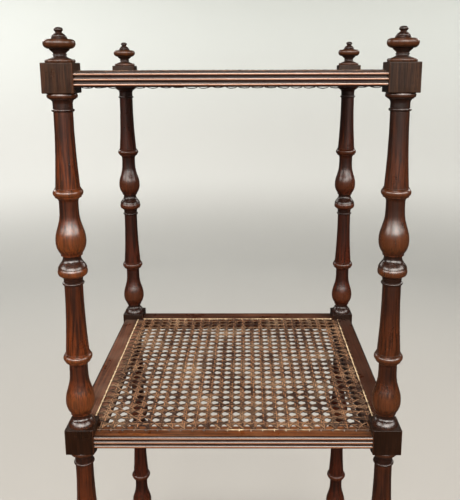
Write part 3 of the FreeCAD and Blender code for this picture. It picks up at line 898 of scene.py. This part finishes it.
def stirred(piece, size, strengths):
    """Moves a piece's points a little by a slow noise, so that repeated work looks made by hand."""
    field = bpy.data.textures.new("hand", "CLOUDS")
    field.noise_scale = size
    field.noise_depth = 1
    for direction, strength in zip("XYZ", strengths):
        if strength:
            moved = piece.modifiers.new("hand_" + direction, "DISPLACE")
            moved.texture = field
            moved.texture_coords = "LOCAL"
            moved.direction = direction
            moved.strength = strength
            moved.mid_level = 0.5
    apply_modifiers(piece)


def eased(value, low, high):
    """0 at low and 1 at high, with a soft start and stop."""
    share = min(max((value - low) / (high - low), 0.0), 1.0)
    return share * share * (3 - 2 * share)


def settled(piece):
    """Draws the middle of a weave back, as old cane settles, and leaves its ends at the holes."""
    middle = piece.vertex_groups.new(name="middle")
    for point in piece.data.vertices:
        at = point.co
        share = (eased(abs(at.x), *SETTLED_SIDES) * eased(at.y, *SETTLED_FRONT)
                 * eased(at.y, *SETTLED_BACK))
        middle.add([point.index], share, "REPLACE")
    drawn = piece.modifiers.new("settled", "DISPLACE")
    drawn.direction = "Y"
    drawn.mid_level = 0.0
    drawn.strength = SETTLED
    drawn.vertex_group = "middle"
    apply_modifiers(piece)


def coat(piece, finish):
    """Gives a piece one finish and no other."""
    piece.data.materials.clear()
    piece.data.materials.append(finish)


for master in WEAVE:
    settled(master)
for tier, top in sorted(TIER_TOPS.items(), key=lambda each: each[0] == "middle"):
    for master, finish in zip(WEAVE, WEAVE_FINISHES):
        piece = master
        if tier != "middle":
            piece = copied(master)
            piece.name = master.name.replace("middle", tier)
            piece.data.transform(Matrix.Translation((0, 0, top - TIER_TOPS["middle"])))
        stirred(piece, *WEAVE_STIR)
        coat(piece, finish)
        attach(piece, "root")
        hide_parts(tier + "_cane_sheet")

# ---------------------------------------------------------------- the bindings
# A flat strip of wider cane covers each row of holes. A fine strand comes up through a hole,
# crosses the strip and goes down the same hole, all along the row, and so ties the strip down.

SIDES = {"front": (0, FRONT_HOLES), "right": (90, -SIDE_HOLES),
         "back": (180, -BACK_HOLES), "left": (270, -SIDE_HOLES)}
STRIP_LENGTH = 0.3340
STRIP_WIDTH = 0.0016
STRIP_THICK = 0.0005
STRIP_LEVEL = 0.00075
STRIP_ARRIS = 0.7
STRIP_CUTS = 48
TIE_LENGTH = 0.0042
TIE_WIDTH = 0.0011
TIE_THICK = 0.00025
TIE_LIFT = 0.0001
TIE_LEVEL = STRIP_LEVEL + STRIP_THICK / 2 + TIE_LIFT
TIE_BENDS = ((0.0, -0.0028), (0.0006, -0.0004), (0.0011, 0.00002), (0.0021, 0.0001),
             (0.0031, 0.00002), (0.0036, -0.0004), (TIE_LENGTH, -0.0028))
SIDE_COUNT = 23
SIDE_HOLE_FIRST = -0.1599
SIDE_HOLE_SPAN = 0.3149
SIDE_HOLE_STEP = SIDE_HOLE_SPAN / (SIDE_COUNT - 1)
BINDING_STIR = (0.04, (0.0006, 0.0006, 0.0003))


def holes_along(side):
    """The first hole, the spacing and the number of holes, along a rail seen from outside."""
    if side in ("front", "back"):
        return HOLE_FIRST, HOLE_STEP, FRONT_COUNT
    if side == "right":
        return SIDE_HOLE_FIRST, SIDE_HOLE_STEP, SIDE_COUNT
    return -SIDE_HOLE_FIRST - SIDE_HOLE_SPAN, SIDE_HOLE_STEP, SIDE_COUNT


def binding_strip(name):
    """The wide strip, rounded on top, lying along X on the row of holes."""
    bpy.ops.object.select_all(action="DESELECT")
    bpy.ops.mesh.primitive_cube_add(size=1.0)
    strip = bpy.context.object
    strip.name = name
    strip.scale = (STRIP_LENGTH, STRIP_WIDTH, STRIP_THICK)
    bpy.ops.object.transform_apply(location=False, rotation=False, scale=True)
    open_piece(strip)
    pick_edges(strip, lambda edge: on_top(edge) and edge.verts[0].co.y * edge.verts[1].co.y > 0)
    bpy.ops.mesh.bevel(offset=STRIP_THICK * STRIP_ARRIS, segments=2, affect="EDGES")
    bpy.ops.mesh.select_mode(type="VERT")
    for step in range(1, STRIP_CUTS):
        cut = STRIP_LENGTH * (step / STRIP_CUTS - 0.5)
        bpy.ops.mesh.select_all(action="SELECT")
        bpy.ops.mesh.bisect(plane_co=(cut, 0, 0), plane_no=(1, 0, 0))
    close_piece()
    return strip


def rows_of(name, cell, bends, start, spacing, count, width, thick):
    """A short bent strand, laid across a rail at every hole."""
    strand = split_cane(name, cell, bends, 1, width, thick)
    repeated(strand, (spacing, 0, 0), count, merge=False)
    strand.data.transform(Matrix.Translation((start, -cell / 2, 0)))
    faced_out(strand)
    return strand


FINE_STAINS = (240.0, 3.0)
SLOW_PATCHES = (38.0, 2.0)
STAIN_EDGES = (0.35, 0.65)
STAIN_TONES = (shade(58, 37, 25), shade(100, 70, 46))
CREAM_EDGES = (0.3, 0.6)
CREAM_TONES = (shade(146, 118, 86), shade(208, 184, 148))


def worn_binding():
    """Binding cane, brown with dirt, and cream in patches from one place on along the rail."""
    group, given, ends = new_group(
        "worn_binding",
        {"Place": "Vector", "Cream from": "Float", "Cream to": "Float", "Patch low": "Float",
         "Patch high": "Float"},
        {"Colour": "Color", "Fine": "Float"})
    along = add(group, "SeparateXYZ", {0: given["Place"]}).outputs["X"]
    fine = noise(group, given["Place"], *FINE_STAINS)
    slow = noise(group, given["Place"], *SLOW_PATCHES)
    clean = reckon(group, "MULTIPLY",
                   step_between(group, slow, given["Patch low"], given["Patch high"]),
                   step_between(group, along, given["Cream from"], given["Cream to"]))
    browns = blend_colours(group, step_between(group, fine, *STAIN_EDGES), *STAIN_TONES)
    cream = blend_colours(group, step_between(group, fine, *CREAM_EDGES), *CREAM_TONES)
    join_up(group, ends, {"Colour": blend_colours(group, clean, browns, cream), "Fine": fine})
    return group


WORN_BINDING = worn_binding()
BINDING_DEPTH = 0.0002
BINDING_ROUGHNESS = (0.35, 0.6)
PATCH_FROM = 0.66
PATCH_TO = 0.84
CREAM_FADE = 0.03
ALL_ALONG = -0.5


def binding_finish(name, cream_from, cream_share):
    """Old golden cane with brown stains, bare and dark at one end where it was never cleaned."""
    finish, tree, shader = new_finish(name)
    place = add(tree, "TexCoord", {}).outputs["Object"]
    marked = use_group(tree, WORN_BINDING, {
        "Place": place, "Cream from": cream_from, "Cream to": cream_from + CREAM_FADE,
        "Patch low": PATCH_FROM - cream_share, "Patch high": PATCH_TO - cream_share})
    fill(tree, shader, {
        "Base Color": marked["Colour"], "Roughness": spread(tree, marked["Fine"], *BINDING_ROUGHNESS),
        "Normal": raised(tree, marked["Fine"], BINDING_DEPTH, 0.4), "Coat Weight": 0.2,
        "Coat Roughness": 0.3})
    return finish


BINDING_FINISHES = {
    "front": binding_finish("front_binding_cane", -0.125, 0.18),
    "right": binding_finish("right_binding_cane", ALL_ALONG, 0.28),
    "back": binding_finish("back_binding_cane", ALL_ALONG, 0.34),
    "left": binding_finish("left_binding_cane", ALL_ALONG, 0.5),
}
# The top tier's bindings get almost no cream and stay dark brown: dirt and painted shade.
TOP_BINDING_FINISH = binding_finish("top_binding_cane", ALL_ALONG, 0.0)

for side, (turned, line) in SIDES.items():
    start, spacing, count = holes_along(side)
    for tier, top in TIER_TOPS.items():
        strip = binding_strip("strip")
        strip.data.transform(Matrix.Translation((0, line, STRIP_LEVEL)))
        ties = rows_of("ties", TIE_LENGTH, TIE_BENDS, start, spacing, count, TIE_WIDTH, TIE_THICK)
        ties.data.transform(Matrix.Translation((0, line, TIE_LEVEL)))
        binding = joined(tier + "_" + side + "_binding", [strip, ties])
        around = Matrix.Rotation(math.radians(turned), 4, "Z")
        binding.data.transform(Matrix.Translation((0, 0, top - SHELF_DROP)) @ around)
        stirred(binding, *BINDING_STIR)
        coat(binding, TOP_BINDING_FINISH if tier == "top" else BINDING_FINISHES[side])
        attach(binding, "root")
        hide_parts(tier + "_" + side + "_cane_binding")

# ---------------------------------------------------------------- the strands under the rails
# Under each rail the strands pass from one hole to the next before they come up again. They were
# never meant to be seen, so they are slack, doubled here and there, and a very dark brown.

RAIL_THICK = 0.0165
UNDER_BENDS = ((0.0, 0.0022), (0.0016, 0.0002), (0.0040, -0.0003), (0.0071, -0.0006),
               (0.0102, -0.0003), (0.0127, 0.0002), (HOLE_STEP, 0.0022))
UNDER_FINISH = cane_finish("under_rail_cane", 0.0, shade(18, 11, 8), shade(34, 22, 16),
                           shade(52, 36, 26))
UNDER_WIDTH = 0.0021
UNDER_PAIR = ((-0.0007, 0.0), (0.0009, 0.0005))
UNDER_GAP = 0.0006
UNDER_STIR = (0.012, (0.0010, 0.0008, 0.0022))
for side, (turned, line) in SIDES.items():
    start, spacing, count = holes_along(side)
    for tier, top in TIER_TOPS.items():
        runs = []
        for aside, drop in UNDER_PAIR:
            run = split_cane("run", HOLE_STEP, UNDER_BENDS, count - 1, UNDER_WIDTH)
            run.data.transform(Matrix.Rotation(math.radians(-90), 4, "Z"))
            run.data.transform(Matrix.Translation((start, line + aside, -drop)))
            runs.append(run)
        under = joined(tier + "_" + side + "_under_strands", runs)
        faced_out(under)
        around = Matrix.Rotation(math.radians(turned), 4, "Z")
        below = top - SHELF_DROP - RAIL_THICK - UNDER_GAP
        under.data.transform(Matrix.Translation((0, 0, below)) @ around)
        stirred(under, *UNDER_STIR)
        coat(under, UNDER_FINISH)
        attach(under, "root")

# ---------------------------------------------------------------- the finials and the feet
# Each finial is turned from one scrap of the same mahogany, with a spigot glued in the block.
# The feet are turned as one with short spigots, and floor wax and brooms have dulled them.

CORNERS = ("front_left", "front_right", "back_left", "back_right")
FINIAL_FINISH = turned_mahogany(
    "finial_mahogany", shade(20, 9, 4), shade(44, 21, 9), shade(94, 52, 22),
    pale_share=0.4, haze=0.26, gloss=0.4)
FOOT_FINISH = turned_mahogany(
    "foot_mahogany", shade(22, 11, 7), shade(50, 25, 15), shade(92, 56, 30),
    pale_share=0.36, haze=0.3, gloss=0.6)
finish_nodes([corner + "_finial" for corner in CORNERS], FINIAL_FINISH)
finish_nodes([corner + "_foot" for corner in CORNERS], FOOT_FINISH)

# ---------------------------------------------------------------- the room
# The piece stands on a seamless pale paper that curves up into its own wall all round. The floor
# is painted darker than the wall and a little darker still round the stand, as painted shade, and
# the wall lighter higher up, as painted light, to even out how the lamps fall. The paper
# is dimmed in reflections, so the polish mirrors only the lamps, as with black flags beside it.

SWEEP_FLAT = 2.3
SWEEP_BEND = 1.9
SWEEP_TOP = 4.6
BEND_STEPS = 14
FLOOR_SHADE_MIDDLE = shade(160, 157, 153)
FLOOR_SHADE_EDGE = shade(162, 161, 158)
FLOOR_PAPER = shade(178, 177, 174)
LOW_WALL = shade(196, 196, 193)
HIGH_WALL = shade(218, 221, 218)
BLACK_FLAG = shade(14, 13, 12)
FLAG_SHARE = 0.95
bpy.ops.object.select_all(action="DESELECT")
bpy.ops.mesh.primitive_circle_add(vertices=96, radius=SWEEP_FLAT, fill_type="NGON")
sweep = bpy.context.object
sweep.name = "studio_sweep"
open_piece(sweep)
bpy.ops.mesh.select_all(action="SELECT")
for step in range(BEND_STEPS):
    before = math.radians(90) * step / BEND_STEPS
    after = math.radians(90) * (step + 1) / BEND_STEPS
    wider = ((SWEEP_FLAT + SWEEP_BEND * math.sin(after))
             / (SWEEP_FLAT + SWEEP_BEND * math.sin(before)))
    higher = SWEEP_BEND * (math.cos(before) - math.cos(after))
    if step == 0:
        pick_edges(sweep, lambda edge: edge.is_boundary)
    bpy.ops.mesh.extrude_region_move(TRANSFORM_OT_translate={"value": (0, 0, higher)})
    bpy.ops.transform.resize(value=(wider, wider, 1.0), center_override=(0, 0, 0))
bpy.ops.mesh.extrude_region_move(TRANSFORM_OT_translate={"value": (0, 0, SWEEP_TOP - SWEEP_BEND)})
close_piece()
bpy.ops.object.shade_smooth()
finish, tree, shader = new_finish("studio_paper")
place = add(tree, "TexCoord", {}).outputs["Object"]
soft = noise(tree, place, 0.8, 2.0)
height = add(tree, "SeparateXYZ", {0: place}).outputs["Z"]
from_middle = add(tree, "VectorMath", {0: place}, operation="LENGTH").outputs["Value"]
# The floor is a little darker round the stand: painted shade.
floor_shade = blend_colours(tree, step_between(tree, from_middle, 0.6, 2.2), FLOOR_SHADE_MIDDLE,
                        FLOOR_SHADE_EDGE)
ground = blend_colours(tree, times(tree, soft, 0.2), floor_shade, FLOOR_PAPER)
# Floor darker than the low wall and the wall lighter higher up: painted shade and painted light.
wall = blend_colours(tree, step_between(tree, height, 0.4, 1.4), LOW_WALL, HIGH_WALL)
pale = blend_colours(tree, step_between(tree, height, 0.0, 0.3), ground, wall)
in_gloss = add(tree, "LightPath", {}).outputs["Is Glossy Ray"]
flagged = blend_colours(tree, times(tree, in_gloss, FLAG_SHARE), pale, BLACK_FLAG)
fill(tree, shader, {"Base Color": flagged, "Roughness": 0.9, "Specular IOR Level": 0.1})
sweep.data.materials.append(finish)


def soft_box(name, place, aim, width, height, power, tint, spread):
    """A rectangular soft light turned towards a point, its light held to a cone by a grid."""
    lamp = bpy.data.lights.new(name, "AREA")
    lamp.shape = "RECTANGLE"
    lamp.size, lamp.size_y = width, height
    lamp.energy = power
    lamp.spread = math.radians(spread)
    lamp.color = tint
    holder = bpy.data.objects.new(name, lamp)
    bpy.context.scene.collection.objects.link(holder)
    holder.location = place
    holder.rotation_euler = (Vector(aim) - Vector(place)).to_track_quat("-Z", "Y").to_euler()


WARM = (1.0, 0.955, 0.9)
WARMER_WHITE = (1.0, 0.97, 0.93)
WHITE = (1.0, 1.0, 1.0)
SHELF = (0, 0, 0.85)
LOW_SHELF = (0, 0, 0.75)
LAMPS = (
    ("front_box", (0.1, -2.4, 1.9), SHELF, 4.2, 1.0, 66.0, WARM, 95),
    ("left_box", (-2.3, -1.1, 1.9), SHELF, 2.1, 0.9, 19.0, WARM, 95),
    ("right_box", (2.3, -1.1, 1.9), SHELF, 2.1, 0.9, 19.0, WARM, 95),
    ("back_left_box", (-1.9, 2.0, 1.9), LOW_SHELF, 1.4, 0.9, 6.0, WARM, 95),
    ("back_right_box", (1.9, 2.0, 1.9), LOW_SHELF, 1.4, 0.9, 6.0, WARM, 95),
    ("overhead_box", (-0.1, -0.6, 2.8), (0, 0, 0.5), 1.0, 0.5, 6.0, WARMER_WHITE, 140),
    ("left_sweep_box", (-1.5, 1.9, 3.1), (-1.7, 3.0, 0), 1.6, 0.8, 27.0, WHITE, 120),
    ("right_sweep_box", (1.6, 1.9, 3.1), (1.7, 3.0, 0), 1.6, 0.8, 14.0, WHITE, 120),
    ("front_sweep_box", (0, -1.9, 3.2), (0, -2.9, 0), 1.8, 0.8, 30.0, WHITE, 80),
)
for lamp in LAMPS:
    soft_box(*lamp)

AIR_BRIGHT = 2.5
AIR_IN_GLOSS = 0.6
AIR_COLOUR = (0.95, 0.96, 1.0, 1.0)
world = bpy.data.worlds.new("studio_air")
bpy.context.scene.world = world
world.use_nodes = True
tree = world.node_tree
in_gloss = add(tree, "LightPath", {}).outputs["Is Glossy Ray"]
fill(tree, tree.nodes["Background"], {
    "Color": AIR_COLOUR, "Strength": spread(tree, in_gloss, AIR_BRIGHT, AIR_IN_GLOSS)})
bpy.context.scene.view_settings.view_transform = "Standard"

# ---------------------------------------------------------------- the camera
# It stands close in, level with the top rails, and looks down at the middle shelf. Its lens is
# shifted a little, so the stand sits in the frame without tilting the posts.

EYE_PLACE = (0.0175, -0.8871, 0.9687)
EYE_HEADING = math.radians(0.41)
EYE_PITCH = math.radians(78.10)
EYE_ROLL = math.radians(-0.17)
eye = bpy.data.cameras.new("eye")
eye.lens = 45.61
eye.sensor_width = 36.0
eye.shift_x = -0.0258
eye.shift_y = -0.09
eye_holder = bpy.data.objects.new("eye", eye)
bpy.context.scene.collection.objects.link(eye_holder)
eye_holder.matrix_world = (Matrix.Translation(EYE_PLACE)
                           @ Matrix.Rotation(EYE_HEADING, 4, "Z")
                           @ Matrix.Rotation(EYE_PITCH, 4, "X")
                           @ Matrix.Rotation(EYE_ROLL, 4, "Z"))
bpy.context.scene.camera = eye_holder
